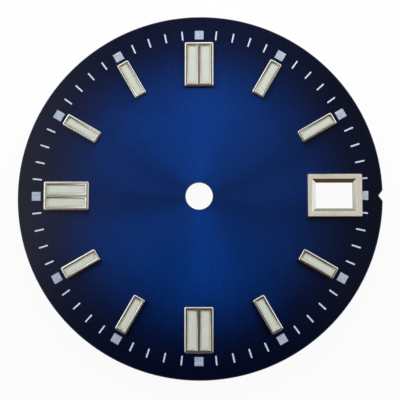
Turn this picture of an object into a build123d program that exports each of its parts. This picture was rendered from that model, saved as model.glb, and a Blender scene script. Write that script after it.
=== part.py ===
from build123d import *
import math
import os

# Watch dial for an automatic movement with a date, in millimetres.
# The face looks along +Z. 12 o'clock is +Y and 3 o'clock is +X.
# The origin is the centre of the hand hole, in the plane of the plate's back face.

# Clock face
hours_on_dial = 12
hours_per_quarter = 3
date_hour = 3
minutes_on_dial = 60
minutes_per_hour_mark = 5
full_turn = 360

# Plate
plate_diameter = 28.5
plate_thickness = 0.4
rim_bevel = 0.05
centre_hole_diameter = 2.12
centre_hole_bevel = 0.04

# Notch in the rim at 3 o'clock, which lines the plate up with the winding stem
notch_half_width = 0.43
notch_depth = 0.32
notch_corner_radius = 0.06

# Dial feet, seated in shallow sockets in the back and held by solder
dial_foot_rim_margin = 1.95
dial_foot_clock_angles = {"right": 114, "left": 264}
dial_foot_diameter = 0.75
dial_foot_length = 2.0
dial_foot_end_bevel = 0.08
foot_collar_diameter = 1.3
foot_collar_height = 0.12
foot_collar_recess = 0.01
foot_socket_clearance = 0.02

# Feet under the applied markers and the date frame, staked just below the back face
staked_foot_diameter = 0.4
staked_foot_recess = 0.01
staked_foot_clearance = 0.02

# Printed minute track, set in from the rim
track_rim_margin = 1.1
tick_length = 0.73
tick_width = 0.12
tick_corner_bevel = 0.03
tick_thickness = 0.02
print_gap = 0.03

# Luminous plots between the markers and the rim
plot_rim_margin = 1.125
plot_side = 0.685
plot_thickness = 0.04
date_plot_length = 0.48

# Applied hour markers, all with their outer ends on one circle inside the plots
marker_plot_gap = 0.305
marker_height = 0.42
marker_corner_bevel = 0.08
marker_edge_bevel = 0.06
marker_foot_spread_share = 0.62
trough_depth = 0.24
trough_flare = 0.08
single_width = 1.0
single_length = 3.03
single_rim = 0.22
double_width = 2.26
double_length = 3.53
double_rim = 0.28
double_rib_width = 0.34

# Luminous compound in the troughs
lume_drop = 0.09
lume_clearance = 0.005
lume_edge_bevel = 0.02

# Applied date frame at 3 o'clock, which leaves only the outer end of the plot there
date_frame_length = 4.175
date_frame_width = 3.3
date_frame_height = 0.42
date_frame_corner_bevel = 0.06
date_frame_edge_bevel = 0.04
date_window_length = 2.87
date_window_width = 2.02
date_window_shift = 0.05
date_bevel_width = 0.3
date_lip_height = 0.12
date_plate_margin = 0.05

# Cutters reach this far past what they cut, and stubs this far into what carries them
overrun = 0.1

# Which hours carry what
all_hours = range(1, hours_on_dial + 1)
single_hours = [hour for hour in all_hours if hour % hours_per_quarter]
double_hours = [hour for hour in all_hours if hour not in (date_hour, *single_hours)]

# Radii from the rim inwards
plate_radius = plate_diameter / 2
track_outer_radius = plate_radius - track_rim_margin
track_inner_radius = track_outer_radius - tick_length
plot_outer_radius = plate_radius - plot_rim_margin
marker_outer_radius = plot_outer_radius - plot_side - marker_plot_gap
date_frame_outer_radius = plot_outer_radius - date_plot_length - print_gap
date_frame_centre_radius = date_frame_outer_radius - date_frame_length / 2
dial_foot_circle_radius = plate_radius - dial_foot_rim_margin

# Heights above the back face
marker_top = plate_thickness + marker_height
trough_floor = marker_top - trough_depth
lume_top = marker_top - lume_drop
date_frame_top = plate_thickness + date_frame_height
date_lip_top = plate_thickness + date_lip_height

on_floor = (Align.CENTER, Align.CENTER, Align.MIN)


def turned_to_hour(hour, shape):
    """Turns what is drawn at 12 o'clock to its hour."""
    return Rot(0, 0, -hour * full_turn / hours_on_dial) * shape


def at_clock_angle(angle, radius):
    """The place at a clockwise angle from 12 o'clock, at a radius from the hand hole."""
    turn = math.radians(angle)
    return Pos(radius * math.sin(turn), radius * math.cos(turn), 0)


def block(width, length, corner_bevel, bottom, top):
    """An upright block with its four corners cut off, centred on the Z axis."""
    outline = chamfer(Rectangle(width, length).vertices(), corner_bevel)
    return Pos(0, 0, bottom) * extrude(outline, top - bottom)


def flared_block(width, length, flare, bottom, top):
    """A sharp-cornered block that widens by the flare on every side towards its top."""
    floor_outline = Pos(0, 0, bottom) * Rectangle(width, length)
    mouth = Rectangle(width + 2 * flare, length + 2 * flare)
    return loft([floor_outline, Pos(0, 0, top) * mouth], ruled=True)


def top_edges(solid):
    """The edges round the highest face."""
    return solid.faces().sort_by(Axis.Z)[-1].edges()


# Places of the staked feet, shared by the pieces that carry them and the plate


def marker_centre_radius(length):
    return marker_outer_radius - length / 2


def marker_foot_radii(length):
    """How far out the two feet of a marker are."""
    half_spread = length * marker_foot_spread_share / 2
    centre = marker_centre_radius(length)
    return (centre - half_spread, centre + half_spread)


def date_window_centre_radius():
    return date_frame_centre_radius - date_window_shift


def date_foot_radii():
    """The date frame's feet are in the middle of its inner and outer sides."""
    inner_edge = date_frame_outer_radius - date_frame_length
    window_inner = date_window_centre_radius() - date_window_length / 2
    window_outer = date_window_centre_radius() + date_window_length / 2
    return ((inner_edge + window_inner) / 2, (date_frame_outer_radius + window_outer) / 2)


def staked_foot(radius):
    """A foot at 12 o'clock, from inside the piece that it carries through the plate."""
    length = plate_thickness + overrun - staked_foot_recess
    foot = Cylinder(staked_foot_diameter / 2, length, align=on_floor)
    return Pos(0, radius, staked_foot_recess) * foot


def staked_foot_hole(radius):
    """The hole through the plate for one foot at 12 o'clock."""
    hole_radius = staked_foot_diameter / 2 + staked_foot_clearance
    hole = Cylinder(hole_radius, plate_thickness + 2 * overrun, align=on_floor)
    return Pos(0, radius, -overrun) * hole


# Plate


def plate_outline():
    """A disc with the V notch, its corners eased as a punch leaves them."""
    notch_root = plate_radius - notch_depth
    side_slope = notch_depth / notch_half_width
    mouth = plate_radius + overrun
    mouth_half_width = (mouth - notch_root) / side_slope
    notch = make_face(
        Polyline(
            (notch_root, 0),
            (mouth, mouth_half_width),
            (mouth, -mouth_half_width),
            close=True,
        )
    )
    outline = Circle(plate_radius) - notch
    notch_corners = outline.vertices().sort_by(Axis.X)[-3:]
    return fillet(notch_corners, notch_corner_radius)


def plate_blank():
    """The punched disc with its rim bevelled at the front."""
    disc = extrude(plate_outline(), plate_thickness)
    return chamfer(top_edges(disc), rim_bevel)


def centre_hole():
    hole_radius = centre_hole_diameter / 2
    depth = plate_thickness + 2 * overrun
    bore = Pos(0, 0, -overrun) * Cylinder(hole_radius, depth, align=on_floor)
    bevel_floor = plate_thickness - centre_hole_bevel
    bevel = Pos(0, 0, bevel_floor) * Cone(
        hole_radius, hole_radius + centre_hole_bevel, centre_hole_bevel, align=on_floor
    )
    return bore + bevel


def date_aperture():
    """The plate's own opening, a little larger than the frame's window."""
    width = date_window_width + 2 * date_plate_margin
    length = date_window_length + 2 * date_plate_margin
    opening = block(width, length, date_plate_margin, -overrun, plate_thickness + overrun)
    return turned_to_hour(date_hour, Pos(0, date_window_centre_radius(), 0) * opening)


def staked_foot_holes():
    """Two holes under every marker and under the date frame."""
    foot_radii = {date_hour: date_foot_radii()}
    foot_radii.update({hour: marker_foot_radii(single_length) for hour in single_hours})
    foot_radii.update({hour: marker_foot_radii(double_length) for hour in double_hours})
    return [
        turned_to_hour(hour, staked_foot_hole(radius))
        for hour, radii in foot_radii.items()
        for radius in radii
    ]


def foot_socket(angle):
    """A flat-bottomed socket in the back for one dial foot."""
    radius = foot_collar_diameter / 2 + foot_socket_clearance
    depth = foot_collar_recess + foot_collar_height
    socket = Pos(0, 0, -overrun) * Cylinder(radius, overrun + depth, align=on_floor)
    return at_clock_angle(angle, dial_foot_circle_radius) * socket


def dial_plate():
    sockets = [foot_socket(angle) for angle in dial_foot_clock_angles.values()]
    return plate_blank() - [centre_hole(), date_aperture(), *staked_foot_holes(), *sockets]


def dial_foot(angle):
    """A turned pin with a collar. The collar fills the socket, and the pin enters the movement."""
    collar = Pos(0, 0, foot_collar_recess) * Cylinder(
        foot_collar_diameter / 2, foot_collar_height, align=on_floor
    )
    pin_length = dial_foot_length + foot_collar_recess + foot_collar_height
    pin = Pos(0, 0, -dial_foot_length) * Cylinder(
        dial_foot_diameter / 2, pin_length, align=on_floor
    )
    pin = chamfer(pin.edges().sort_by(Axis.Z)[0], dial_foot_end_bevel)
    return at_clock_angle(angle, dial_foot_circle_radius) * (collar + pin)


# Applied markers


def trough_widths(width, rim, rib_width, count):
    """The width at the top of each trough, and where the troughs' centres are."""
    top_width = (width - 2 * rim - (count - 1) * rib_width) / count
    pitch = top_width + rib_width
    first = -pitch * (count - 1) / 2
    return top_width, [first + pitch * index for index in range(count)]


def trough(top_width, top_length):
    """The cutter of one trough, a straight-sided bath that opens towards its top."""
    floor_width = top_width - 2 * trough_flare
    floor_length = top_length - 2 * trough_flare
    steepness = trough_flare / trough_depth
    flare = trough_flare + steepness * overrun
    return flared_block(floor_width, floor_length, flare, trough_floor, marker_top + overrun)


def marker_frame(hour, width, length, rim, rib_width, count):
    """One applied frame with its troughs and two staked feet."""
    centre = marker_centre_radius(length)
    body = block(width, length, marker_corner_bevel, plate_thickness, marker_top)
    body = chamfer(top_edges(body), marker_edge_bevel)
    top_width, centres = trough_widths(width, rim, rib_width, count)
    cutter = trough(top_width, length - 2 * rim)
    body = body - [Pos(x, 0, 0) * cutter for x in centres]
    feet = [staked_foot(radius) for radius in marker_foot_radii(length)]
    return turned_to_hour(hour, (Pos(0, centre, 0) * body) + feet)


def lume_fill(hour, width, length, rim, rib_width, count, index):
    """The set compound in one trough, a little below the rim and eased at its edge."""
    top_width, centres = trough_widths(width, rim, rib_width, count)
    floor_width = top_width - 2 * trough_flare - 2 * lume_clearance
    floor_length = length - 2 * rim - 2 * trough_flare - 2 * lume_clearance
    flare = trough_flare * (lume_top - trough_floor) / trough_depth
    fill = flared_block(floor_width, floor_length, flare, trough_floor, lume_top)
    fill = chamfer(top_edges(fill), lume_edge_bevel)
    return turned_to_hour(hour, Pos(centres[index], marker_centre_radius(length), 0) * fill)


# Date frame


def date_frame():
    """A flat frame whose window falls to the plate in four mitred bevels over a short lip."""
    body = block(
        date_frame_width,
        date_frame_length,
        date_frame_corner_bevel,
        plate_thickness,
        date_frame_top,
    )
    body = chamfer(top_edges(body), date_frame_edge_bevel)
    steepness = date_bevel_width / (date_frame_top - date_lip_top)
    bevel = flared_block(
        date_window_width,
        date_window_length,
        date_bevel_width + steepness * overrun,
        date_lip_top,
        date_frame_top + overrun,
    )
    window = extrude(
        Rectangle(date_window_width, date_window_length), date_lip_height + 2 * overrun
    )
    window = Pos(0, 0, plate_thickness - overrun) * window
    shifted = Pos(0, -date_window_shift, 0)
    body = body - [shifted * bevel, shifted * window]
    feet = [staked_foot(radius) for radius in date_foot_radii()]
    return turned_to_hour(date_hour, (Pos(0, date_frame_centre_radius, 0) * body) + feet)


# Printing


def tick(minute):
    """One printed line of the minute track. Beside the date frame it starts at the frame."""
    angle = minute * full_turn / minutes_on_dial
    turn = math.radians(angle)
    inner = track_inner_radius
    beside_frame = abs(inner * math.cos(turn)) < (date_frame_width + tick_width) / 2
    if beside_frame and math.sin(turn) > 0:
        inner = max(inner, (date_frame_outer_radius + print_gap) / math.sin(turn))
    length = track_outer_radius - inner
    outline = Rectangle(tick_width, length)
    line = extrude(chamfer(outline.vertices(), tick_corner_bevel), tick_thickness)
    return Rot(0, 0, -angle) * Pos(0, inner + length / 2, plate_thickness) * line


def minute_track():
    """Every minute but the hours has a line."""
    minutes = [m for m in range(minutes_on_dial) if m % minutes_per_hour_mark]
    return Compound(children=[tick(minute) for minute in minutes])


def hour_plot(hour):
    """A square of luminous compound outside the marker. The date frame leaves less of one."""
    length = date_plot_length if hour == date_hour else plot_side
    square = extrude(Rectangle(plot_side, length), plot_thickness)
    centre = plot_outer_radius - length / 2
    return turned_to_hour(hour, Pos(0, centre, plate_thickness) * square)


def named_pieces():
    """Every piece of the dial by its name."""
    pieces = {"dial_plate": dial_plate(), "date_frame": date_frame()}
    for side, angle in dial_foot_clock_angles.items():
        pieces[f"dial_foot_{side}"] = dial_foot(angle)
    single = (single_width, single_length, single_rim, 0, 1)
    double = (double_width, double_length, double_rim, double_rib_width, 2)
    for hour in single_hours:
        pieces[f"marker_frame_{hour:02d}"] = marker_frame(hour, *single)
        pieces[f"lume_fill_{hour:02d}"] = lume_fill(hour, *single, 0)
    for hour in double_hours:
        pieces[f"marker_frame_{hour:02d}"] = marker_frame(hour, *double)
        pieces[f"lume_fill_{hour:02d}_a"] = lume_fill(hour, *double, 0)
        pieces[f"lume_fill_{hour:02d}_b"] = lume_fill(hour, *double, 1)
    pieces["minute_track"] = minute_track()
    for hour in all_hours:
        pieces[f"hour_plot_{hour:02d}"] = hour_plot(hour)
    return pieces


os.makedirs("parts", exist_ok=True)
for name, piece in named_pieces().items():
    export_step(piece, f"parts/{name}.step")
    print(name, round(piece.volume, 5))
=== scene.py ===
# %% [markdown]
# # Dressing a watch dial
#
# A watch dial is a thin brass disc that carries applied hour markers, luminous compound
# and printing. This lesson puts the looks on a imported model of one: a blue plate brushed in
# rays, plated markers with pale fillings, and a date frame at 3 o'clock.
#
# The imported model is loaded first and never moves. The face looks along +Z, 12 o'clock is
# +Y, 3 o'clock is +X, and Blender counts in metres.

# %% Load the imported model
import math

import bmesh
import bpy
from mathutils import Matrix, Vector
from mathutils.geometry import tessellate_polygon


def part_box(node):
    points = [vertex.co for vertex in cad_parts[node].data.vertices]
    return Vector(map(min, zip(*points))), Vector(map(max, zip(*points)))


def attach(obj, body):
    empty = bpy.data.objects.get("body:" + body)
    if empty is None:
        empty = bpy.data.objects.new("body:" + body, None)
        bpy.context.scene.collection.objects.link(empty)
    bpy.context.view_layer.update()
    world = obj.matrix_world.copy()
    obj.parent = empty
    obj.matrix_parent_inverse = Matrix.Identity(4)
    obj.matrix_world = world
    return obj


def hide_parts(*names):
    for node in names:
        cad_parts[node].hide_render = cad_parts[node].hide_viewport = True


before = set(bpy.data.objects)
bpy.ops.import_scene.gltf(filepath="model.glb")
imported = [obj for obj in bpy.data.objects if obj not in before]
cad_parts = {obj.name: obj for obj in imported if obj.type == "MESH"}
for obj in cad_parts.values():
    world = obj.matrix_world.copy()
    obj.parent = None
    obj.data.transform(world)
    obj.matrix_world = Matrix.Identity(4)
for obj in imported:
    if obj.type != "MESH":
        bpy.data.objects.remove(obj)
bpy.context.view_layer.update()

scene = bpy.context.scene
mm = 0.001

# %% [markdown]
# ## The clock face as a ruler
#
# Everything applied to a dial is drawn once at 12 o'clock and turned to its hour, as the
# factory's own drawing does it. So each piece is measured the same way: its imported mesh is
# turned back to 12 o'clock, where X runs across it and Y runs outwards.

# %% Measure a piece as if it stood at 12 o'clock
hours_on_dial = 12
date_hour = 3
single_hours = (1, 2, 4, 5, 7, 8, 10, 11)
double_hours = (6, 9, 12)
full_turn = math.tau


def hour_turn(hour):
    """The rotation from 12 o'clock to an hour, clockwise as seen from the front."""
    return Matrix.Rotation(-full_turn * hour / hours_on_dial, 4, "Z")


def points_at_twelve(name, hour):
    """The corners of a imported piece, turned back from its hour to 12 o'clock."""
    turn_back = hour_turn(hour).inverted()
    return [turn_back @ vertex.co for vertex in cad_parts[name].data.vertices]


def extent(points):
    """The lowest and highest corner round some points."""
    lowest = Vector(min(p[axis] for p in points) for axis in range(3))
    highest = Vector(max(p[axis] for p in points) for axis in range(3))
    return lowest, highest


plate_points = points_at_twelve("dial_plate", hours_on_dial)
plate_thickness = extent(plate_points)[1].z
rim_radius = max(p.xy.length for p in plate_points)
bore_radius = min(p.xy.length for p in plate_points)
print("rim", rim_radius / mm, "bore", bore_radius / mm, "thickness", plate_thickness / mm)

# %% [markdown]
# ## The camera
#
# The photograph was taken from almost straight above, with a long lens. The small tilts and
# the distance were found from places on the dial whose sizes are known, so the far side of
# each marker shows as much of its wall as it should.

# %% Camera
aim = Vector((0.056, -0.279, 0)) * mm
camera_distance = 80 * mm
tilt_south = math.radians(-5.20)
tilt_east = math.radians(-1.93)
camera_roll = math.radians(0.14)
film_width = 36
focal_length = 91.88
nearest_seen, farthest_seen = mm, 10

dial_to_camera = (
    Matrix.Rotation(camera_roll, 3, "Z")
    @ Matrix.Rotation(tilt_east, 3, "Y")
    @ Matrix.Rotation(tilt_south, 3, "X")
)
camera_data = bpy.data.cameras.new("camera")
camera_data.sensor_width = film_width
camera_data.lens = focal_length
camera_data.clip_start = nearest_seen
camera_data.clip_end = farthest_seen
camera = bpy.data.objects.new("camera", camera_data)
scene.collection.objects.link(camera)
stand = aim + dial_to_camera.transposed() @ Vector((0, 0, camera_distance))
camera.matrix_world = Matrix.Translation(stand) @ dial_to_camera.transposed().to_4x4()
scene.camera = camera
scene.view_settings.view_transform = "Standard"
print("camera at", stand / mm)

# %% [markdown]
# ## A few words for building nodes
#
# Materials and Geometry Nodes are both built from nodes, so the same short helpers serve for
# both. `node` adds one and sets or links its inputs. `sums`, `times` and `minus` add a step
# of arithmetic, and `on_vectors` a step of vector arithmetic.

# %% Helpers for any node tree


def set_inputs(tree, target, inputs):
    """Gives a node's inputs plain values, or links them to the sockets of other nodes."""
    for name, value in inputs.items():
        if isinstance(value, bpy.types.NodeSocket):
            tree.links.new(value, target.inputs[name])
        else:
            target.inputs[name].default_value = value


def node(tree, kind, inputs=None, **settings):
    """Adds a node with its settings and inputs."""
    added = tree.nodes.new(kind)
    for name, value in settings.items():
        setattr(added, name, value)
    set_inputs(tree, added, inputs or {})
    return added


def sums(tree, operation, *values):
    """One step of arithmetic, as a socket."""
    return node(tree, "ShaderNodeMath", dict(enumerate(values)), operation=operation).outputs[0]


def times(tree, first, second):
    """The product of two numbers."""
    return sums(tree, "MULTIPLY", first, second)


def minus(tree, whole, taken):
    """What is left of a number."""
    return sums(tree, "SUBTRACT", whole, taken)


def on_vectors(tree, operation, *values, **named):
    """One step of vector arithmetic. A length or a distance comes out as a number."""
    inputs = dict(enumerate(values)) | named
    step = node(tree, "ShaderNodeVectorMath", inputs, operation=operation)
    return step.outputs["Value" if operation in ("LENGTH", "DISTANCE") else "Vector"]


def vector(tree, x=0.0, y=0.0, z=0.0):
    """Three numbers as one vector."""
    return node(tree, "ShaderNodeCombineXYZ", {"X": x, "Y": y, "Z": z}).outputs[0]


def parts(tree, whole):
    """A vector's X, Y and Z."""
    return node(tree, "ShaderNodeSeparateXYZ", {0: whole}).outputs


def mean(tree, first, second):
    """The mean of two patterns."""
    return sums(tree, "MULTIPLY_ADD", first, 0.5, times(tree, second, 0.5))


def eased_step(tree, value, start, end, low=0.0, high=1.0):
    """Runs smoothly from low to high while the value goes from start to end."""
    inputs = {"Value": value, "From Min": start, "From Max": end, "To Min": low, "To Max": high}
    step = node(tree, "ShaderNodeMapRange", inputs, interpolation_type="SMOOTHSTEP")
    return step.outputs["Result"]


def noise(tree, place, scale, detail=2.0, roughness=0.5):
    """A cloudy pattern from 0 to 1. The scale counts its waves in a metre."""
    inputs = {"Vector": place, "Scale": scale, "Detail": detail, "Roughness": roughness}
    return node(tree, "ShaderNodeTexNoise", inputs).outputs["Fac"]


# %% Helpers for materials


def new_material(name):
    """A material, its tree and the place of each point on the piece."""
    material = bpy.data.materials.new(name)
    material.use_nodes = True
    tree = material.node_tree
    place = node(tree, "ShaderNodeTexCoord").outputs["Object"]
    return material, tree, place


def dress(material, inputs):
    """Sets the inputs of a material's surface shader."""
    tree = material.node_tree
    set_inputs(tree, tree.nodes["Principled BSDF"], inputs)
    print("nodes in", material.name, len(tree.nodes))


def mixed(tree, share, first, second):
    """Two colours mixed by a share."""
    mix = node(tree, "ShaderNodeMix", {"Factor": share}, data_type="RGBA")
    sockets = [socket for socket in mix.inputs if socket.type == "RGBA"]
    for socket, colour in zip(sockets, (first, second)):
        if isinstance(colour, bpy.types.NodeSocket):
            tree.links.new(colour, socket)
        else:
            socket.default_value = (*colour, 1)
    return [socket for socket in mix.outputs if socket.type == "RGBA"][0]


def relief(tree, height, depth, strength=1.0):
    """A bump whose height of 1 stands a depth above 0."""
    inputs = {"Height": height, "Distance": depth, "Strength": strength}
    return node(tree, "ShaderNodeBump", inputs).outputs["Normal"]


# %% [markdown]
# ## The table and the white surroundings
#
# The dial lies on its two feet on a white table. To the camera and to polished metal the
# table is nearly plain white. Everything else meets a pale surface that takes light like
# paper, and a little of it shows everywhere, so the dial still throws a faint shadow.

# %% Table
table_reach = 300 * mm
plain_white_share = 0.93
table_height = min(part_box(f"dial_foot_{side}")[0].z for side in ("right", "left"))
table_mesh = bpy.data.meshes.new("table")
corners = [(-1, -1), (1, -1), (1, 1), (-1, 1)]
corners = [(x * table_reach, y * table_reach, table_height) for x, y in corners]
table_mesh.from_pydata(corners, [], [(0, 1, 2, 3)])
table = bpy.data.objects.new("table", table_mesh)
scene.collection.objects.link(table)

table_paper, tree, place = new_material("table_paper")
dress(table_paper, {"Base Color": (0.85, 0.85, 0.85, 1), "Roughness": 0.9})
paper = tree.nodes["Principled BSDF"].outputs[0]
ray = node(tree, "ShaderNodeLightPath").outputs
seen = sums(tree, "MAXIMUM", ray["Is Camera Ray"], ray["Is Glossy Ray"])
whiteness = times(tree, seen, plain_white_share)
white = node(tree, "ShaderNodeEmission", {"Color": (1, 1, 1, 1), "Strength": 1.0})
paper_or_white = {0: whiteness, 1: paper, 2: white.outputs[0]}
paper_or_white = node(tree, "ShaderNodeMixShader", paper_or_white).outputs[0]
set_inputs(tree, tree.nodes["Material Output"], {"Surface": paper_or_white})
table_mesh.materials.append(table_paper)
print("table at", table_height / mm)

# %% [markdown]
# ## Studio light
#
# A brushed dial is lit to show its rays. Each brush line spreads light to both sides of
# itself, so a light at the left or right makes the sheen that runs to 12 and 6 o'clock, and
# one in the north makes the sheen that runs to 3 and 9. A tent with pale walls at the left,
# the right and the north gives the soft part of it. Nine soft boxes add the rest. They stand
# in an arc from west over north to east, closely enough that no ray between them stays dark.
#
# Straight above is the dark lens of the camera, which is why a polished top face looks darker
# than its rounded edges.

# %% Soft tent
tent_strength = 1.0
ceiling = (0.11, 0.11, 0.11)
lens = (0.008, 0.008, 0.010)
wall = (0.95, 0.95, 0.94)
north = (0.85, 0.87, 0.84)
low_north = (0.24, 0.26, 0.23)
south = (0.10, 0.06, 0.035)
low_south = (0.035, 0.014, 0.007)
lens_direction = (-0.03, -0.07, 0)
card_direction = (-0.25, 0.09, 0)

world = bpy.data.worlds.new("tent")
scene.world = world
world.use_nodes = True
tree = world.node_tree
direction = node(tree, "ShaderNodeTexCoord").outputs["Generated"]
east_part, north_part, up_part = parts(tree, direction)
west_part = times(tree, east_part, -1.0)
south_part = times(tree, north_part, -1.0)
flat_direction = vector(tree, east_part, north_part)
# The left wall is nearer, and the right one reaches further south.
to_the_left = eased_step(tree, west_part, start=0.10, end=0.32)
left_end = eased_step(tree, north_part, start=-0.04, end=0.20)
to_the_left = times(tree, to_the_left, left_end)
to_the_right = eased_step(tree, east_part, start=0.16, end=0.44)
right_end = eased_step(tree, north_part, start=-0.14, end=0.12)
to_the_right = times(tree, to_the_right, right_end)
# A pale card beside the lens shows faintly in the clear coat at 9 o'clock.
off_card = on_vectors(tree, "DISTANCE", flat_direction, card_direction)
to_the_card = eased_step(tree, off_card, start=0.05, end=0.13, low=0.45, high=0.0)
to_the_left = sums(tree, "MAXIMUM", to_the_left, to_the_card)
to_a_side = sums(tree, "MAXIMUM", to_the_left, to_the_right)
to_the_north = eased_step(tree, north_part, start=0.28, end=0.48)
to_the_south = eased_step(tree, south_part, start=0.10, end=0.45)
high = eased_step(tree, up_part, start=0.10, end=0.50)
tent = mixed(tree, to_the_north, ceiling, mixed(tree, high, low_north, north))
tent = mixed(tree, to_the_south, tent, mixed(tree, high, low_south, south))
tent = mixed(tree, to_a_side, tent, wall)
off_lens = on_vectors(tree, "DISTANCE", flat_direction, lens_direction)
tent = mixed(tree, eased_step(tree, off_lens, start=0.07, end=0.19), lens, tent)
ray = node(tree, "ShaderNodeLightPath").outputs
tent = mixed(tree, ray["Is Camera Ray"], tent, (1, 1, 1))
set_inputs(tree, tree.nodes["Background"], {"Color": tent, "Strength": tent_strength})
print("nodes in the tent", len(tree.nodes))

# %% Soft boxes


def soft_box(name, azimuth, elevation, size, radiance, distance=0.5, in_gloss=True):
    """An area lamp aimed at the dial. Azimuth is clockwise from 12 o'clock, in degrees."""
    turn, rise = math.radians(azimuth), math.radians(elevation)
    flat = math.cos(rise)
    way = Vector((math.sin(turn) * flat, math.cos(turn) * flat, math.sin(rise)))
    lamp = bpy.data.lights.new(name, "AREA")
    lamp.shape = "RECTANGLE"
    lamp.size, lamp.size_y = size
    lamp.energy = radiance * math.pi * size[0] * size[1]
    stand = bpy.data.objects.new(name, lamp)
    turned = way.to_track_quat("Z", "Y").to_matrix().to_4x4()
    stand.matrix_world = Matrix.Translation(way * distance) @ turned
    stand.visible_glossy = in_gloss
    scene.collection.objects.link(stand)


soft_boxes = (
    ("west", 261, 67, (0.09, 0.13), 2.05),
    ("left", 286, 54, (0.24, 0.22), 0.81),
    ("over_ten", 311, 47, (0.12, 0.16), 1.35),
    ("over_eleven", 328, 45, (0.14, 0.16), 1.93),
    ("north", 1, 53, (0.09, 0.16), 1.8),
    ("over_one", 31, 45, (0.13, 0.16), 1.42),
    ("over_two", 50, 49, (0.12, 0.16), 1.2),
    ("right", 77, 51, (0.24, 0.22), 1.05),
    ("east", 104, 62, (0.09, 0.13), 0.65),
)
for name, azimuth, elevation, size, radiance in soft_boxes:
    soft_box(f"soft_box_{name}", azimuth, elevation, size, radiance)
# A near lamp over 12 o'clock lifts what is matt there and is kept out of the reflections.
soft_box("fill_over_twelve", 8, 44, (0.035, 0.035), 2.25, distance=0.05, in_gloss=False)
print("lamps", len(bpy.data.lights))

# %% [markdown]
# ## Sunburst lacquer
#
# The brass is brushed in straight lines from the centre, plated, and lacquered in a clear
# blue, and the colour is made darker towards the rim. On real dials the lines are finer than a
# hundredth of a millimetre, so they are made in two ways at once: the shader is told that the
# metal is smooth along the radius and rough across it, and a fine relief adds the few lines
# coarse enough to see.
#
# The blue is a colour ramp over the distance from a point just north of the middle, darkest
# at the rim. The lines, a painted grain for the sparkle of the sheen, and a little dust are laid
# over it.

# %% Brushed lines
line_drift_per_mm = 0.02
sunburst_lacquer, tree, place = new_material("sunburst_lacquer")
flat_place = on_vectors(tree, "MULTIPLY", place, (1, 1, 0))
radius = on_vectors(tree, "LENGTH", flat_place)
outward = on_vectors(tree, "NORMALIZE", flat_place)
# The lines run outwards, so their pattern turns quickly round the dial and slowly along it.
line_drift = vector(tree, z=times(tree, radius, line_drift_per_mm / mm))
line_place = on_vectors(tree, "ADD", outward, line_drift)
coarse_lines = noise(tree, line_place, scale=45, detail=3.0, roughness=0.6)
fine_lines = noise(tree, line_place, scale=230, detail=2.0, roughness=0.6)
lines = mean(tree, coarse_lines, fine_lines)
brushing = node(tree, "ShaderNodeTangent", direction_type="RADIAL", axis="Z")
print("nodes for the lines", len(tree.nodes))

# %% Blue that darkens towards the rim
# The colour ramp below darkens the blue with the distance from this point, down to the rim.
rim_fade_centre = Vector((-0.05, 0.2, 0)) * mm
rim_fade_colours = {
    0.00: (0.0024, 0.0500, 0.3100),
    0.46: (0.0024, 0.0480, 0.3050),
    0.61: (0.0024, 0.0350, 0.2150),
    0.74: (0.0022, 0.0165, 0.1050),
    0.85: (0.0020, 0.0070, 0.0410),
    1.00: (0.0018, 0.0045, 0.0250),
}
dust_colour = (0.10, 0.16, 0.30)
dust_share = 0.35

from_fade_centre = on_vectors(tree, "DISTANCE", flat_place, rim_fade_centre)
out_share = sums(tree, "DIVIDE", from_fade_centre, rim_radius)
fade = node(tree, "ShaderNodeValToRGB", {"Fac": out_share})
fade.color_ramp.interpolation = "B_SPLINE"
while len(fade.color_ramp.elements) < len(rim_fade_colours):
    fade.color_ramp.elements.new(0.5)
for stop, (share, colour) in zip(fade.color_ramp.elements, rim_fade_colours.items()):
    stop.position = share
    stop.color = (*colour, 1)
line_shade = eased_step(tree, lines, 0.25, 0.75, low=0.86, high=1.12)
# A grain about as fine as a hair is painted into the blue: painted sparkle that stands in
# for the glints of the brushed sheen.
grain = noise(tree, place, scale=5000, detail=2.0, roughness=0.6)
painted_sparkle = eased_step(tree, grain, 0.3, 0.7, low=0.91, high=1.09)
shade = times(tree, line_shade, painted_sparkle)
lined = on_vectors(tree, "SCALE", fade.outputs["Color"], Scale=shade)
dusty = eased_step(tree, noise(tree, place, scale=5200, detail=1.0), 0.74, 0.80)
blue = mixed(tree, times(tree, dusty, dust_share), lined, dust_colour)
cloud = noise(tree, place, scale=900, detail=4.0, roughness=0.65)
lacquer = {
    "Base Color": blue,
    "Roughness": eased_step(tree, cloud, 0.3, 0.7, low=0.38, high=0.45),
    "Normal": relief(tree, lines, depth=0.004 * mm, strength=0.35),
    "Tangent": brushing.outputs[0],
    "Metallic": 1.0,
    "Anisotropic": 1.0,
    "Coat Weight": 1.0,
    "Coat Roughness": 0.12,
}
dress(sunburst_lacquer, lacquer)

# %% [markdown]
# ## Bare metal of the plate
#
# The edge and the back are nickelled brass, which nobody polishes: it is ground flat in one
# direction, and a little cloudy where it was handled. A noise that is stretched along X makes
# the scratches of the grinding.

# %% Bare nickelled brass
nickelled_brass, tree, place = new_material("nickelled_brass")
stretched = {"Vector": place, "Scale": (160, 7500, 7500)}
grinding = node(tree, "ShaderNodeMapping", stretched).outputs[0]
scratches = noise(tree, grinding, scale=1.0, detail=3.0, roughness=0.6)
clouds = noise(tree, place, scale=260, detail=3.0)
warm_nickel = mixed(tree, clouds, (0.60, 0.57, 0.50), (0.72, 0.69, 0.62))
scratched = eased_step(tree, scratches, 0.3, 0.8)
bare_metal = {
    "Base Color": mixed(tree, scratched, warm_nickel, (0.50, 0.47, 0.41)),
    "Roughness": eased_step(tree, scratches, 0.2, 0.8, low=0.32, high=0.48),
    "Normal": relief(tree, scratches, depth=0.003 * mm, strength=0.6),
    "Metallic": 1.0,
}
dress(nickelled_brass, bare_metal)
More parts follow.
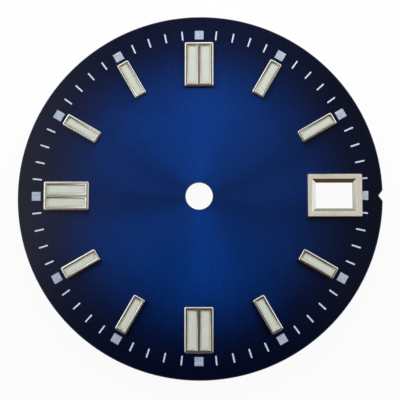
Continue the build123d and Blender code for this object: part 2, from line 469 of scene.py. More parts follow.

# %% [markdown]
# ## Pierced edges
#
# The walls of the date opening are too narrow to polish, so they are dull, and their nearly
# black colour is painted shade. A glossy wall here would shine white at its flat angle.

# %% Dark walls with painted shade
painted_shade_wall, tree, place = new_material("painted_shade_wall")
wall_mottle = noise(tree, place, scale=3500, detail=3.0, roughness=0.6)
shade_wall_finish = {
    "Base Color": mixed(tree, wall_mottle, (0.030, 0.020, 0.014), (0.085, 0.060, 0.042)),
    "Normal": relief(tree, wall_mottle, depth=0.004 * mm, strength=0.5),
    "Roughness": 0.9,
    "Specular IOR Level": 0.1,
}
dress(painted_shade_wall, shade_wall_finish)

# %% [markdown]
# ## The plate
#
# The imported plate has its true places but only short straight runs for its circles. Here the
# same outlines are drawn again with fine rings. Each outline keeps the metal on its left, and
# is stacked up in rings that follow the profile of its edge. The front and the back are then
# filled between the outlines, holes and all. A flat drawing that is stacked up suits a punched
# part better than cutting one solid with twenty-odd others.

# %% Outlines that keep the metal on their left
rim_steps = 480
bore_steps = 144
hole_steps = 40
corner_steps = 6
least_cosine = 0.5


def ring(centre, radius, steps):
    """The circle of a hole. It runs clockwise, which leaves the metal on its left."""
    angles = [-full_turn * index / steps for index in range(steps)]
    arms = [Vector((radius * math.cos(angle), radius * math.sin(angle))) for angle in angles]
    return [centre.xy + arm for arm in arms]


def eased(outline, corners, radius):
    """The outline with the corners at some places rounded to a radius."""
    rounded = []
    for index, corner in enumerate(outline):
        if index not in corners:
            rounded.append(corner)
            continue
        back = (outline[index - 1] - corner).normalized()
        on = (outline[(index + 1) % len(outline)] - corner).normalized()
        half_angle = back.angle(on) / 2
        centre = corner + (back + on).normalized() * (radius / math.sin(half_angle))
        start = corner + back * (radius / math.tan(half_angle)) - centre
        sweep = start.angle_signed(corner + on * (radius / math.tan(half_angle)) - centre)
        for step in range(corner_steps + 1):
            turn = Matrix.Rotation(-sweep * step / corner_steps, 2)
            rounded.append(centre + turn @ start)
    return rounded


def moved_into_metal(outline, distance):
    """The outline moved to its left, keeping its straight runs parallel."""
    moved = []
    for index, point in enumerate(outline):
        before = (point - outline[index - 1]).normalized()
        after = (outline[(index + 1) % len(outline)] - point).normalized()
        lefts = [Vector((-way.y, way.x)) for way in (before, after)]
        middle = (lefts[0] + lefts[1]).normalized()
        moved.append(point + middle * (distance / max(middle.dot(lefts[0]), least_cosine)))
    return moved


print("corners round rim, bore and hole", rim_steps, bore_steps, hole_steps)

# %% Rings stacked up a profile
edge_steps = 10
step_crowding = 1.6
edge_sharpness = 8
crown_sharpness = 2


def stacked(build, outline, profile):
    """Stacks an outline up a profile of insets and heights. Returns the two end rings."""
    rings = []
    for inset, height in profile:
        loop = moved_into_metal(outline, inset) if inset else outline
        rings.append([build.verts.new((p.x, p.y, height)) for p in loop])
    for lower, upper in zip(rings, rings[1:]):
        for index in range(len(lower)):
            step = (index + 1) % len(lower)
            build.faces.new((lower[index], lower[step], upper[step], upper[index]))
    return rings[0], rings[-1]


def fill_between(build, loops, upwards):
    """Fills the flat between an outline and its holes, looking up or down."""
    corners = [vertex for loop in loops for vertex in loop]
    for triangle in tessellate_polygon([[vertex.co for vertex in loop] for loop in loops]):
        face = build.faces.new([corners[index] for index in triangle])
        face.normal_update()
        if (face.normal.z > 0) != upwards:
            face.normal_flip()


def rounded_over(inset, reach, edge_drop, crown_drop, top):
    """A profile that rises steeply over an edge, then gently to a crowned top face."""
    profile = []
    for step in range(edge_steps + 1):
        along = (step / edge_steps) ** step_crowding
        left = 1 - along
        fall = edge_drop * left**edge_sharpness + crown_drop * left**crown_sharpness
        profile.append((inset + reach * along, top - fall))
    return profile


print("insets of a rounded edge", [inset for inset, height in rounded_over(0, 1, 0, 0, 0)])

# %% The rim and its notch
notch_half_width = 0.43 * mm
notch_depth = 0.32 * mm
notch_easing = 0.06 * mm
fine_share = 0.001
notch_root = Vector((rim_radius - notch_depth, 0))
notch_side = Vector((notch_depth, notch_half_width))
side_length_share = 1.0
while (notch_root + notch_side * side_length_share).length > rim_radius:
    side_length_share -= fine_share
mouth = notch_root + notch_side * side_length_share
mouth_angle = math.atan2(mouth.y, mouth.x)
rim_turn = full_turn - 2 * mouth_angle
arc = [mouth_angle + rim_turn * index / rim_steps for index in range(rim_steps + 1)]
rim_outline = [rim_radius * Vector((math.cos(a), math.sin(a))) for a in arc] + [notch_root]
rim_outline = eased(rim_outline, (0, rim_steps, rim_steps + 1), notch_easing)
print("rim outline", len(rim_outline), "corners, notch mouth", 2 * mouth.y / mm)

# %% Where feet come through the plate
foot_clearance = 0.02 * mm
marker_hours = {hour: f"marker_frame_{hour:02d}" for hour in (*single_hours, *double_hours)}


def feet_of(points):
    """The corners of a piece that lie in the lower half of the plate: its feet."""
    return [p for p in points if p.z < plate_thickness / 2]


foot_places = []
for hour, name in {date_hour: "date_frame", **marker_hours}.items():
    low, high = extent(feet_of(points_at_twelve(name, hour)))
    foot_radius = (high.x - low.x) / 2
    for outward_place in (low.y + foot_radius, high.y - foot_radius):
        foot_places.append((hour_turn(hour) @ Vector((0, outward_place, 0))).xy)

sockets = {}
for side in ("right", "left"):
    low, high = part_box(f"dial_foot_{side}")
    sockets[side] = (((low + high) / 2).xy, (high.x - low.x) / 2 + foot_clearance, high.z)
print("feet through the plate", len(foot_places), "of radius", foot_radius / mm)

# %% The date opening
opening_ease = 0.08 * mm
frame_low, frame_high = extent(points_at_twelve("date_frame", date_hour))
opening_points = [
    p
    for p in points_at_twelve("dial_plate", date_hour)
    if frame_low.y < p.y < frame_high.y and foot_radius * 2 < abs(p.x) < frame_high.x
]
low, high = extent(opening_points)
opening = [(low.x, low.y), (low.x, high.y), (high.x, high.y), (high.x, low.y)]
opening = [(hour_turn(date_hour) @ Vector((*corner, 0))).xy for corner in opening]
opening = eased(opening, range(4), opening_ease)
opening_low, opening_high = extent([p.to_3d() for p in opening])
print("date opening in mm", (opening_high - opening_low) / mm)

# %% Stack up the plate
front_bevel = 0.05 * mm
bore_bevel = 0.04 * mm
burr_ease = 0.015 * mm
top = plate_thickness


def punched_edge(bevel):
    """The profile of a punched edge, its burr eased below and a bevel above."""
    return [(burr_ease, 0), (0, burr_ease), (0, top - bevel), (bevel, top)]


edges = [
    (rim_outline, punched_edge(front_bevel)),
    (ring(Vector((0, 0)), bore_radius, bore_steps), punched_edge(bore_bevel)),
    (opening, punched_edge(burr_ease)),
]
for place in foot_places:
    hole = ring(place, foot_radius + foot_clearance, hole_steps)
    edges.append((hole, [(0, 0), (0, top)]))

plate_build = bmesh.new()
ends = [stacked(plate_build, outline, profile) for outline, profile in edges]
back_loops = [lowest for lowest, highest in ends]
front_loops = [highest for lowest, highest in ends]
for centre, radius, depth in sockets.values():
    wall_of_socket = ring(centre, radius, hole_steps)
    mouth, socket_floor = stacked(plate_build, wall_of_socket, [(0, 0), (0, depth)])
    plate_build.faces.new(socket_floor)
    back_loops.append(mouth)
fill_between(plate_build, front_loops, True)
fill_between(plate_build, back_loops, False)
bmesh.ops.recalc_face_normals(plate_build, faces=plate_build.faces)
print("edges stacked up", len(edges) + len(sockets))

# %% Which face gets which finish
inside_rim = rim_radius - 2 * front_bevel
leans_up, leans_over = 0.5, 0.9
finishes = (sunburst_lacquer, nickelled_brass, painted_shade_wall)
for face in plate_build.faces:
    middle = face.calc_center_median()
    lean = abs(face.normal.z)
    on_rim = middle.xy.length > inside_rim and lean < leans_over
    lacquered = face.normal.z > leans_up or (on_rim and middle.z > burr_ease)
    in_opening = opening_low.x < middle.x < opening_high.x and lean < leans_up
    # Walls of the date opening get painted shade: a nearly black, dull finish.
    finish = sunburst_lacquer if lacquered else painted_shade_wall if in_opening else nickelled_brass
    face.smooth = True
    face.material_index = finishes.index(finish)
given_out = [face.material_index for face in plate_build.faces]
print("faces lacquered, bare and dull", [given_out.count(index) for index in range(len(finishes))])

# %% Finish the plate


def new_piece(name, mesh):
    """An object at the origin for a finished mesh."""
    piece = bpy.data.objects.new(name, mesh)
    scene.collection.objects.link(piece)
    return piece


def hand_over(piece, slot, *nodes):
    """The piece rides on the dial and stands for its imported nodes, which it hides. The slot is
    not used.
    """
    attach(piece, "root")
    if nodes:
        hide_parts(*nodes)


plate_mesh = bpy.data.meshes.new("plate")
plate_build.to_mesh(plate_mesh)
plate_build.free()
plate_mesh.set_sharp_from_angle(angle=math.radians(25))
for finish in finishes:
    plate_mesh.materials.append(finish)
hand_over(new_piece("plate", plate_mesh), "blue_lacquer", "dial_plate")
print("plate faces", len(plate_mesh.polygons))

# %% [markdown]
# ## Plated metal
#
# Markers and date frame are cut with a diamond and plated in a pale silver. The markers are
# polished, and show hairlines from handling. The date frame is matter and a little yellower,
# with faint brown stains, and the four bevels of its window are cut like
# mirrors. One function makes all three finishes, with the colours and the polish as inputs.

# %% Plated metal
speck_share = 0.3


def plated(name, colour, stain, stain_share, roughness):
    """Plated metal with hairlines and stains. Roughness is given as its least and most."""
    material, tree, place = new_material(name)
    patches = noise(tree, place, scale=900, detail=4.0, roughness=0.6)
    patches = eased_step(tree, patches, 0.48, 0.72)
    specks = eased_step(tree, noise(tree, place, scale=7000, detail=2.0), 0.62, 0.74)
    stained = mixed(tree, times(tree, patches, stain_share), colour, stain)
    across = {"Vector": place, "Rotation": (0, 0, 0.5), "Scale": (500, 9000, 4000)}
    across = node(tree, "ShaderNodeMapping", across).outputs[0]
    hairlines = noise(tree, across, scale=1.0, detail=2.0)
    metal = {
        "Base Color": mixed(tree, times(tree, specks, speck_share), stained, stain),
        "Roughness": eased_step(tree, patches, 0.0, 1.0, *roughness),
        "Normal": relief(tree, hairlines, depth=0.0004 * mm, strength=0.15),
        "Metallic": 1.0,
    }
    dress(material, metal)
    return material


silver, brown = (0.80, 0.77, 0.68), (0.66, 0.58, 0.45)
polished_plating = plated("polished_plating", silver, brown, 0.25, roughness=(0.21, 0.25))
straw, amber = (0.92, 0.87, 0.75), (0.66, 0.53, 0.36)
matt_plating = plated("matt_plating", straw, amber, 0.6, roughness=(0.46, 0.54))
bright_silver = (0.86, 0.84, 0.76)
mirror_cut = plated("mirror_cut", bright_silver, brown, 0.15, roughness=(0.10, 0.16))

# %% [markdown]
# ## Applied frames
#
# The imported frames have the right faces and places. What they lack is the roundness of their
# edges, which is what catches light on polished metal. So each is stacked up again with the
# plate's own helpers: an outline with rounded corners, a wall, an edge that is rounded over
# to a slightly crowned land, then one sloping bath for each trough and two feet below.
#
# Each marker is drawn at 12 o'clock from its own imported sizes and turned to its hour, so it
# always fits its own fillings. A bevel modifier would round all its edges alike.

# %% Feet and walls that every applied piece has
foot_ease = 0.03 * mm
underside_ease = 0.012 * mm
above_plate_share = 0.99
flat_lean = 0.999
side_wall = [(underside_ease, plate_thickness), (0, plate_thickness + underside_ease)]


def rectangle(low, high, corner_radius=0.0, hole=False):
    """A rectangle with rounded corners, its metal on the left."""
    corners = [(low.x, low.y), (high.x, low.y), (high.x, high.y), (low.x, high.y)]
    corners = [Vector(corner) for corner in (reversed(corners) if hole else corners)]
    return eased(corners, range(4), corner_radius) if corner_radius else corners


def above_plate(points):
    """The lowest and highest corner of what stands on the plate."""
    return extent([p for p in points if p.z > plate_thickness * above_plate_share])


def staked_feet(build, points):
    """The two feet under a piece. Returns the rings where they leave its underside."""
    low, high = extent(feet_of(points))
    profile = [(-foot_ease, low.z), (0, low.z + foot_ease), (0, plate_thickness)]
    rings = []
    for outward_place in (low.y + foot_radius, high.y - foot_radius):
        outline = ring(Vector((0, outward_place)), foot_radius, hole_steps)
        end, root = stacked(build, outline, profile)
        build.faces.new(end)
        rings.append(root)
    return rings


def turned_piece(name, build, hour, *finishes):
    """Finishes a drawing at 12 o'clock, and turns it to its hour. Its flats stay flat."""
    bmesh.ops.recalc_face_normals(build, faces=build.faces)
    for face in build.faces:
        face.smooth = abs(face.normal.z) < flat_lean and face.material_index == 0
    mesh = bpy.data.meshes.new(name)
    build.to_mesh(mesh)
    build.free()
    mesh.transform(hour_turn(hour))
    mesh.set_sharp_from_angle(angle=math.radians(30))
    for finish in finishes:
        mesh.materials.append(finish)
    return new_piece(name, mesh)


print("side wall in mm", [(inset / mm, height / mm) for inset, height in side_wall])

# %% The rule of one marker
corner_radius = 0.13 * mm
outer_drop = 0.045 * mm
lip_drop = 0.012 * mm
crown_drop = 0.020 * mm
trough_flare = 0.08 * mm
close = 0.01 * mm
meeting_share = 0.97


def marker(hour, source, fillings):
    """One applied marker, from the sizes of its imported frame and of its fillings."""
    points = points_at_twelve(source, hour)
    low, high = above_plate(points)
    floors = []
    for filling in fillings:
        fill_low, fill_high = extent(points_at_twelve(filling, hour))
        near = [p for p in points if abs(p.z - fill_low.z) < close]
        near = [p for p in near if fill_low.x - 2 * close < p.x < fill_high.x + 2 * close]
        floors.append(extent(near))
    half_rim = (high.y - floors[0][1].y - trough_flare) / 2
    build = bmesh.new()
    profile = side_wall + rounded_over(0, half_rim, outer_drop, crown_drop, high.z)
    underside, land = stacked(build, rectangle(low, high, corner_radius), profile)
    lands = [land]
    lip = rounded_over(trough_flare, half_rim * meeting_share, lip_drop, crown_drop, high.z)
    for floor_low, floor_high in floors:
        bath = rectangle(floor_low, floor_high, hole=True)
        bath_floor, mouth = stacked(build, bath, [(0, floor_low.z)] + lip)
        build.faces.new(bath_floor)
        lands.append(mouth)
    fill_between(build, lands, True)
    fill_between(build, [underside] + staked_feet(build, points), False)
    return turned_piece(f"marker_{hour:02d}", build, hour, polished_plating)


# %% Make the markers
fillings_of = {hour: [f"lume_fill_{hour:02d}"] for hour in single_hours}
fillings_of |= {hour: [f"lume_fill_{hour:02d}_{side}" for side in "ab"] for hour in double_hours}
for hour, source in marker_hours.items():
    frame_piece = marker(hour, source, fillings_of[hour])
    hand_over(frame_piece, "polished_plating", source)
print("markers", len(marker_hours), "faces of the last", len(frame_piece.data.polygons))

# %% Make the date frame
date_bevel_width = 0.27 * mm
date_bevel_depth = 0.20 * mm
date_corner_radius = 0.07 * mm
date_shoulder = 0.05 * mm
crease = 0.012 * mm
date_points = points_at_twelve("date_frame", date_hour)
low, high = above_plate(date_points)
packed_lip = min(p.z for p in date_points if p.z > plate_thickness + crease)
window_low, window_high = extent([p for p in date_points if abs(p.z - packed_lip) < crease])
lip_top = high.z - date_bevel_depth
build = bmesh.new()
profile = side_wall + rounded_over(0, date_shoulder, date_shoulder, 0, high.z)
underside, land = stacked(build, rectangle(low, high, date_corner_radius), profile)
profile = [
    (0, plate_thickness),
    (0, lip_top - crease),
    (crease / 3, lip_top),
    (date_bevel_width - crease, high.z - crease),
    (date_bevel_width, high.z - crease / 4),
    (date_bevel_width + crease, high.z),
]
window_foot, window_mouth = stacked(build, rectangle(window_low, window_high, hole=True), profile)
fill_between(build, [land, window_mouth], True)
fill_between(build, [underside, window_foot] + staked_feet(build, date_points), False)
print("date window in mm", (window_high - window_low) / mm)

# %% Finish the date frame
date_finishes = (matt_plating, mirror_cut, painted_shade_wall)
window_middle = (window_low + window_high) / 2
half_cut = (window_high - window_low) / 2 + Vector((date_bevel_width, date_bevel_width, 0))
for face in build.faces:
    middle = face.calc_center_median()
    out = middle - window_middle
    in_cut = abs(out.x) < half_cut.x and abs(out.y) < half_cut.y and len(face.verts) == 4
    if in_cut and out.z > plate_thickness - window_middle.z:
        # Below the mirror bevels, the window's lip walls get painted shade: nearly black and dull.
        finish = mirror_cut if middle.z > lip_top else painted_shade_wall
        face.material_index = date_finishes.index(finish)
date_surround = turned_piece("date_surround", build, date_hour, *date_finishes)
hand_over(date_surround, "polished_plating", "date_frame")
print("date frame faces", len(date_surround.data.polygons))

# %% [markdown]
# ## Luminous compound
#
# The troughs are filled with a grainy, pale green-white paste that sets a little below the
# rim. The plots outside the markers are the same kind of paste, printed thin, so it looks
# greyer and shows pits. Both are a noise between two close colours, with the same noise as
# their relief.

# %% Luminous finishes
trough_lume, tree, place = new_material("trough_lume")
grain = noise(tree, place, scale=14000, detail=3.0, roughness=0.6)
grainy = mean(tree, grain, noise(tree, place, scale=1500, detail=2.0))
grainy = eased_step(tree, grainy, 0.3, 0.7)
thick_paste = {
    "Base Color": mixed(tree, grainy, (0.615, 0.67, 0.605), (0.67, 0.71, 0.65)),
    "Normal": relief(tree, grain, depth=0.006 * mm, strength=0.5),
    "Roughness": 0.85,
}
dress(trough_lume, thick_paste)

pit_share = 0.5
plot_lume, tree, place = new_material("plot_lume")
mottle = noise(tree, place, scale=5000, detail=4.0, roughness=0.65)
mottled = eased_step(tree, mottle, 0.3, 0.7)
greys = mixed(tree, mottled, (0.35, 0.425, 0.56), (0.50, 0.58, 0.71))
pits = eased_step(tree, noise(tree, place, scale=9000, detail=2.0), 0.60, 0.70)
thin_paste = {
    "Base Color": mixed(tree, times(tree, pits, pit_share), greys, (0.22, 0.26, 0.36)),
    "Normal": relief(tree, mottle, depth=0.010 * mm, strength=0.6),
    "Roughness": 0.8,
}
dress(plot_lume, thin_paste)

# %% [markdown]
# ## Filling the troughs with Geometry Nodes
#
# All fourteen fillings follow one rule: a bath of paste between sloping walls, its surface
# lower at the edges and not quite even. One Geometry Nodes tree holds that rule. Each filling
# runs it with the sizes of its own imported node, and the result is kept as a plain mesh.

# %% A tree with named inputs


def new_tree(name, inputs):
    """An empty Geometry Nodes tree with named numbers, and the sockets that give them."""
    tree = bpy.data.node_groups.new(name, "GeometryNodeTree")
    tree.interface.new_socket("Geometry", in_out="OUTPUT", socket_type="NodeSocketGeometry")
    for label in inputs:
        tree.interface.new_socket(label, in_out="INPUT", socket_type="NodeSocketFloat")
    return tree, node(tree, "NodeGroupInput").outputs


def end_tree(tree, geometry, material):
    """Ends a tree in real geometry with its material."""
    real = node(tree, "GeometryNodeRealizeInstances", {0: geometry}).outputs[0]
    dressed = {"Geometry": real, "Material": material}
    dressed = node(tree, "GeometryNodeSetMaterial", dressed).outputs[0]
    node(tree, "NodeGroupOutput", {0: dressed})


def grown_mesh(name, tree, sizes):
    """Runs a tree with these sizes and returns what it makes as a plain mesh."""
    seed = new_piece(name, bpy.data.meshes.new(name))
    modifier = seed.modifiers.new(name, "NODES")
    modifier.node_group = tree
    for item in tree.interface.items_tree:
        if item.in_out == "INPUT":
            modifier[item.identifier] = float(sizes[item.name])
    graph = bpy.context.evaluated_depsgraph_get()
    mesh = bpy.data.meshes.new_from_object(seed.evaluated_get(graph))
    bpy.data.objects.remove(seed)
    mesh.name = name
    return mesh


# %% Helpers for shapes in a tree


def between(tree, share, low, high):
    """The value at a share of the way from low to high."""
    return sums(tree, "MULTIPLY_ADD", share, minus(tree, high, low), low)


def unit_block(tree, across, outward, up):
    """A block of side 1 with this many corners each way, and the parts of a corner's place."""
    corners = {"Size": (1, 1, 1), "Vertices X": across, "Vertices Y": outward, "Vertices Z": up}
    block = node(tree, "GeometryNodeMeshCube", corners).outputs["Mesh"]
    return block, parts(tree, node(tree, "GeometryNodeInputPosition").outputs[0])


def from_edge(tree, along):
    """How far a place from -0.5 to 0.5 is from the nearer end."""
    return minus(tree, 0.5, sums(tree, "ABSOLUTE", along))


def set_places(tree, geometry, places):
    """Moves each corner or point to a place."""
    moved = {"Geometry": geometry, "Position": places}
    return node(tree, "GeometryNodeSetPosition", moved).outputs[0]


# %% Measure every trough
edge_drop = 0.030 * mm
unevenness = 0.014 * mm


def filling_sizes(source, hour, seed):
    """The sizes of one filling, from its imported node."""
    points = points_at_twelve(source, hour)
    low, high = extent(points)
    floor_low, floor_high = extent([p for p in points if p.z < low.z + close])
    middle = (low + high) / 2
    return {
        "Floor width": floor_high.x - floor_low.x,
        "Floor length": floor_high.y - floor_low.y,
        "Mouth width": high.x - low.x,
        "Mouth length": high.y - low.y,
        "Floor height": low.z,
        "Fill height": high.z - unevenness / 2,
        "Edge drop": edge_drop,
        "Unevenness": unevenness,
        "Across": middle.x,
        "Outward": middle.y,
        "Seed": seed,
    }


fills = [(source, hour) for hour, sources in fillings_of.items() for source in sources]
fill_sizes = [filling_sizes(*fill, seed) for seed, fill in enumerate(fills)]
print("troughs", len(fills), "length of the first", fill_sizes[0]["Mouth length"] / mm)

# %% The rule of one filling
near_top_share = 0.99
seed_shift = 0.01
fill_tree, given = new_tree("trough_filling", fill_sizes[0])
tree = fill_tree
bath, part = unit_block(tree, across=21, outward=61, up=4)
rise = sums(tree, "ADD", part["Z"], 0.5)
width = between(tree, rise, given["Floor width"], given["Mouth width"])
length = between(tree, rise, given["Floor length"], given["Mouth length"])
wide = times(tree, part["X"], width)
long = times(tree, part["Y"], length)
# Distance from the nearest edge, as a share of the width, sets how far the surface drops.
side_ratio = sums(tree, "DIVIDE", given["Floor length"], given["Floor width"])
from_end = times(tree, from_edge(tree, part["Y"]), side_ratio)
inward = sums(tree, "MINIMUM", from_edge(tree, part["X"]), from_end)
drop = eased_step(tree, inward, start=0.0, end=0.16, low=1.0, high=0.0)
swirl = vector(tree, wide, long, times(tree, given["Seed"], seed_shift))
swirl = minus(tree, noise(tree, swirl, scale=2600, detail=2.0), 0.5)
lift = times(tree, swirl, given["Unevenness"])
surface = minus(tree, lift, times(tree, drop, given["Edge drop"]))
on_top = sums(tree, "GREATER_THAN", rise, near_top_share)
depth = minus(tree, given["Fill height"], given["Floor height"])
height = sums(tree, "MULTIPLY_ADD", rise, depth, given["Floor height"])
height = sums(tree, "MULTIPLY_ADD", on_top, surface, height)
across = sums(tree, "ADD", wide, given["Across"])
outward = sums(tree, "ADD", long, given["Outward"])
end_tree(tree, set_places(tree, bath, vector(tree, across, outward, height)), trough_lume)
print("nodes in a filling", len(tree.nodes))

# %% Pour every trough


def paste_shading(mesh):
    """Shades paste smoothly, up to its edges."""
    for face in mesh.polygons:
        face.use_smooth = True
    mesh.set_sharp_from_angle(angle=math.radians(50))


for (source, hour), sizes in zip(fills, fill_sizes):
    mesh = grown_mesh(source.replace("lume_fill", "filling"), fill_tree, sizes)
    mesh.transform(hour_turn(hour))
    paste_shading(mesh)
    hand_over(new_piece(mesh.name, mesh), "trough_lume", source)
print("fillings", len(fills), "faces of one", len(mesh.polygons))

# %% [markdown]
# ## The printed minute track
#
# A rubber pad prints all the lines at once. They repeat round the dial, so Geometry Nodes put
# one line at each minute, leave out the hours, and shorten the two that meet the date frame.
# The ink stands up a fiftieth of a millimetre and its ends are rounded.

# %% Printed ink
printed_ink, tree, place = new_material("printed_ink")
thin_ink = noise(tree, place, scale=9000, detail=3.0, roughness=0.6)
thinned = eased_step(tree, thin_ink, 0.3, 0.75)
ink = {
    "Base Color": mixed(tree, thinned, (0.71, 0.79, 0.98), (0.54, 0.61, 0.82)),
    "Normal": relief(tree, thin_ink, depth=0.004 * mm, strength=0.5),
    "Roughness": 0.55,
}
dress(printed_ink, ink)

# %% Copies round the dial


def round_the_dial(tree, count, turn, middle, height, stretch, drawing, gone=None):
    """Copies of a drawing, each at its turn and radius, stretched outwards by its share."""
    east = times(tree, middle, sums(tree, "SINE", turn))
    north = times(tree, middle, sums(tree, "COSINE", turn))
    points = node(tree, "GeometryNodeMeshLine", {"Count": count}).outputs[0]
    kept = node(tree, "GeometryNodeCaptureAttribute", domain="POINT")
    kept.capture_items.new("FLOAT", "turn")
    kept.capture_items.new("FLOAT", "stretch")
    set_inputs(tree, kept, {"Geometry": points, "turn": turn, "stretch": stretch})
    points = set_places(tree, kept.outputs[0], vector(tree, east, north, height))
    if gone is not None:
        left_out = {"Geometry": points, "Selection": gone}
        points = node(tree, "GeometryNodeDeleteGeometry", left_out).outputs[0]
    clockwise = times(tree, kept.outputs["turn"], -1.0)
    way = node(tree, "FunctionNodeEulerToRotation", {0: vector(tree, z=clockwise)}).outputs[0]
    scale = vector(tree, 1.0, kept.outputs["stretch"], 1.0)
    copies = {"Points": points, "Instance": drawing, "Rotation": way, "Scale": scale}
    return node(tree, "GeometryNodeInstanceOnPoints", copies).outputs[0]


# %% Measure one printed line
minutes_on_dial = 60
near_line = 0.3 * mm
gap_at_frame = 0.03 * mm
# The line of minute 1 stands for all: it is turned back by one minute to 12 o'clock.
one_minute_back = Matrix.Rotation(full_turn / minutes_on_dial, 4, "Z")
line_points = [one_minute_back @ p for p in points_at_twelve("minute_track", hours_on_dial)]
line_points = [p for p in line_points if abs(p.x) < near_line and p.y > 0]
line_low, line_high = extent(line_points)
line_width, line_length, ink_height = line_high - line_low
track_sizes = {
    "Outer radius": line_high.y,
    "Line length": line_length,
    "Line width": line_width,
    "Ink height": ink_height,
    "Plate height": line_low.z,
    "Frame half width": frame_high.x + line_width / 2,
    "Frame reach": frame_high.y + gap_at_frame,
}
print("a printed line in mm", (line_high - line_low) / mm)

# %% The rule of the minute track: where each line stands
minutes_per_hour = 5
least_east = 0.1
track_tree, given = new_tree("minute_track", track_sizes)
tree = track_tree
minute = node(tree, "GeometryNodeInputIndex").outputs[0]
turn = times(tree, minute, full_turn / minutes_on_dial)
east, up = sums(tree, "SINE", turn), sums(tree, "COSINE", turn)
inner = minus(tree, given["Outer radius"], given["Line length"])
# Beside the date frame a line starts where the frame ends.
off_axis = sums(tree, "ABSOLUTE", times(tree, inner, up))
beside = sums(tree, "LESS_THAN", off_axis, given["Frame half width"])
beside = times(tree, beside, sums(tree, "GREATER_THAN", east, 0.0))
held_back = sums(tree, "MAXIMUM", east, least_east)
held_back = sums(tree, "DIVIDE", given["Frame reach"], held_back)
held_back = sums(tree, "MAXIMUM", held_back, inner)
inner = between(tree, beside, inner, held_back)
length = minus(tree, given["Outer radius"], inner)
middle = times(tree, sums(tree, "ADD", given["Outer radius"], inner), 0.5)
on_hour = sums(tree, "COMPARE", sums(tree, "MODULO", minute, minutes_per_hour), 0.0, 0.5)
print("nodes for the places of the lines", len(tree.nodes))

# %% The rule of the minute track: one printed line
end_rounding_share = 0.35
end_rounding_steps = 5
body_share, crown_share = 0.6, 0.4
crown_narrowing = 0.94
merge_distance = 0.0002 * mm
outline = {"Width": given["Line width"], "Height": given["Line length"]}
outline = node(tree, "GeometryNodeCurvePrimitiveQuadrilateral", outline).outputs[0]
rounding = {
    "Curve": outline,
    "Count": end_rounding_steps,
    "Radius": times(tree, given["Line width"], end_rounding_share),
    "Limit Radius": True,
}
rounded = node(tree, "GeometryNodeFilletCurve", rounding, mode="POLY").outputs[0]
face = node(tree, "GeometryNodeFillCurve", {0: rounded}, mode="NGONS").outputs[0]
body_height = times(tree, given["Ink height"], body_share)
body = {"Mesh": face, "Offset Scale": body_height}
body = node(tree, "GeometryNodeExtrudeMesh", body).outputs
crown_height = times(tree, given["Ink height"], crown_share)
crown = {"Mesh": body["Mesh"], "Selection": body["Top"], "Offset Scale": crown_height}
crown = node(tree, "GeometryNodeExtrudeMesh", crown).outputs
narrowed = {"Geometry": crown["Mesh"], "Selection": crown["Top"], "Scale": crown_narrowing}
narrowed = node(tree, "GeometryNodeScaleElements", narrowed).outputs[0]
underside = node(tree, "GeometryNodeFlipFaces", {0: face}).outputs[0]
both = node(tree, "GeometryNodeJoinGeometry")
tree.links.new(narrowed, both.inputs[0])
tree.links.new(underside, both.inputs[0])
closed = {"Geometry": both.outputs[0], "Distance": merge_distance}
closed = node(tree, "GeometryNodeMergeByDistance", closed).outputs[0]
stretch = sums(tree, "DIVIDE", length, given["Line length"])
height = given["Plate height"]
printed = round_the_dial(tree, minutes_on_dial, turn, middle, height, stretch, closed, on_hour)
end_tree(tree, printed, printed_ink)
print("nodes in the minute track", len(tree.nodes))

# %% Print the minute track
track_mesh = grown_mesh("minute_lines", track_tree, track_sizes)
hand_over(new_piece("minute_lines", track_mesh), "printed_ink", "minute_track")
print("faces of the minute lines", len(track_mesh.polygons))

# %% [markdown]
# ## The hour plots
#
# Twelve small squares of thin lume sit outside the markers, one with only its outer part left
# by the date frame. They are one Geometry Nodes tree too: a cushion of paste with soft
# corners, set at each hour, then roughened where it lies so that no two are alike.

# %% Measure the hour plots
plot_unevenness = 0.010 * mm
plot_low, plot_high = extent(points_at_twelve("hour_plot_12", hours_on_dial))
short_low, short_high = extent(points_at_twelve("hour_plot_03", date_hour))
plot_sizes = {
    "Side": plot_high.x - plot_low.x,
    "Short side": short_high.y - short_low.y,
    "Outer radius": plot_high.y,
    "Paste height": plot_high.z - plot_low.z,
    "Plate height": plot_low.z,
    "Unevenness": plot_unevenness,
}
print("a plot in mm", (plot_high - plot_low) / mm)

# %% The rule of the hour plots: where each stands
plot_tree, given = new_tree("hour_plots", plot_sizes)
tree = plot_tree
hour = node(tree, "GeometryNodeInputIndex").outputs[0]
turn = times(tree, hour, full_turn / hours_on_dial)
at_date = sums(tree, "COMPARE", hour, float(date_hour), 0.5)
length = between(tree, at_date, given["Side"], given["Short side"])
middle = minus(tree, given["Outer radius"], times(tree, length, 0.5))
cushion, part = unit_block(tree, across=15, outward=15, up=2)
inward = sums(tree, "MINIMUM", from_edge(tree, part["X"]), from_edge(tree, part["Y"]))
crown = eased_step(tree, inward, start=0.0, end=0.08, low=0.55, high=0.85)
raised = times(tree, sums(tree, "ADD", part["Z"], 0.5), crown)
paste_place = vector(
    tree,
    times(tree, part["X"], given["Side"]),
    times(tree, part["Y"], given["Side"]),
    times(tree, raised, given["Paste height"]),
)
cushion = set_places(tree, cushion, paste_place)
stretch = sums(tree, "DIVIDE", length, given["Side"])
height = given["Plate height"]
plots = round_the_dial(tree, hours_on_dial, turn, middle, height, stretch, cushion)
plots = node(tree, "GeometryNodeRealizeInstances", {0: plots}).outputs[0]
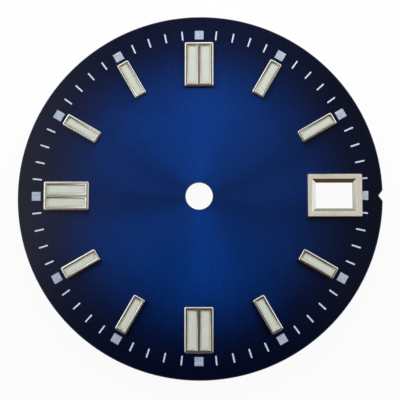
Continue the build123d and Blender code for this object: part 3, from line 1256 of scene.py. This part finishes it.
print("nodes for the places of the plots", len(tree.nodes))

# %% The rule of the hour plots: a rough surface
base_share = 0.3
there = node(tree, "GeometryNodeInputPosition").outputs[0]
base = sums(tree, "MULTIPLY_ADD", given["Paste height"], base_share, given["Plate height"])
above_base = sums(tree, "GREATER_THAN", parts(tree, there)["Z"], base)
rough = minus(tree, noise(tree, there, scale=4200, detail=2.0), 0.5)
rough = vector(tree, z=times(tree, rough, given["Unevenness"]))
roughened = {"Geometry": plots, "Selection": above_base, "Offset": rough}
roughened = node(tree, "GeometryNodeSetPosition", roughened).outputs[0]
end_tree(tree, roughened, plot_lume)
print("nodes in the hour plots", len(tree.nodes))

# %% Print the hour plots
plot_mesh = grown_mesh("hour_plots", plot_tree, plot_sizes)
paste_shading(plot_mesh)
plot_nodes = [f"hour_plot_{hour:02d}" for hour in range(1, hours_on_dial + 1)]
hand_over(new_piece("hour_plots", plot_mesh), "plot_lume", *plot_nodes)
print("faces of the plots", len(plot_mesh.polygons))

# %% [markdown]
# ## Dial feet
#
# Two copper pins are soldered into sockets in the back and hold the dial to its movement.
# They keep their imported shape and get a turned, slightly tarnished copper, whose fine rings
# are a noise that changes quickly along Z.

# %% Copper feet
turned_copper, tree, place = new_material("turned_copper")
turning = {"Vector": place, "Scale": (300, 300, 22000)}
rings = noise(tree, node(tree, "ShaderNodeMapping", turning).outputs[0], scale=1.0, detail=2.0)
tarnish = noise(tree, place, scale=2500, detail=3.0, roughness=0.6)
tarnished = eased_step(tree, tarnish, 0.35, 0.7)
copper = {
    "Base Color": mixed(tree, tarnished, (0.78, 0.47, 0.32), (0.48, 0.26, 0.17)),
    "Roughness": eased_step(tree, tarnish, 0.3, 0.7, low=0.26, high=0.42),
    "Normal": relief(tree, rings, depth=0.004 * mm, strength=0.6),
    "Metallic": 1.0,
}
dress(turned_copper, copper)
for side in sockets:
    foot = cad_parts[f"dial_foot_{side}"]
    foot.data.materials.clear()
    foot.data.materials.append(turned_copper)
print("feet", list(sockets))
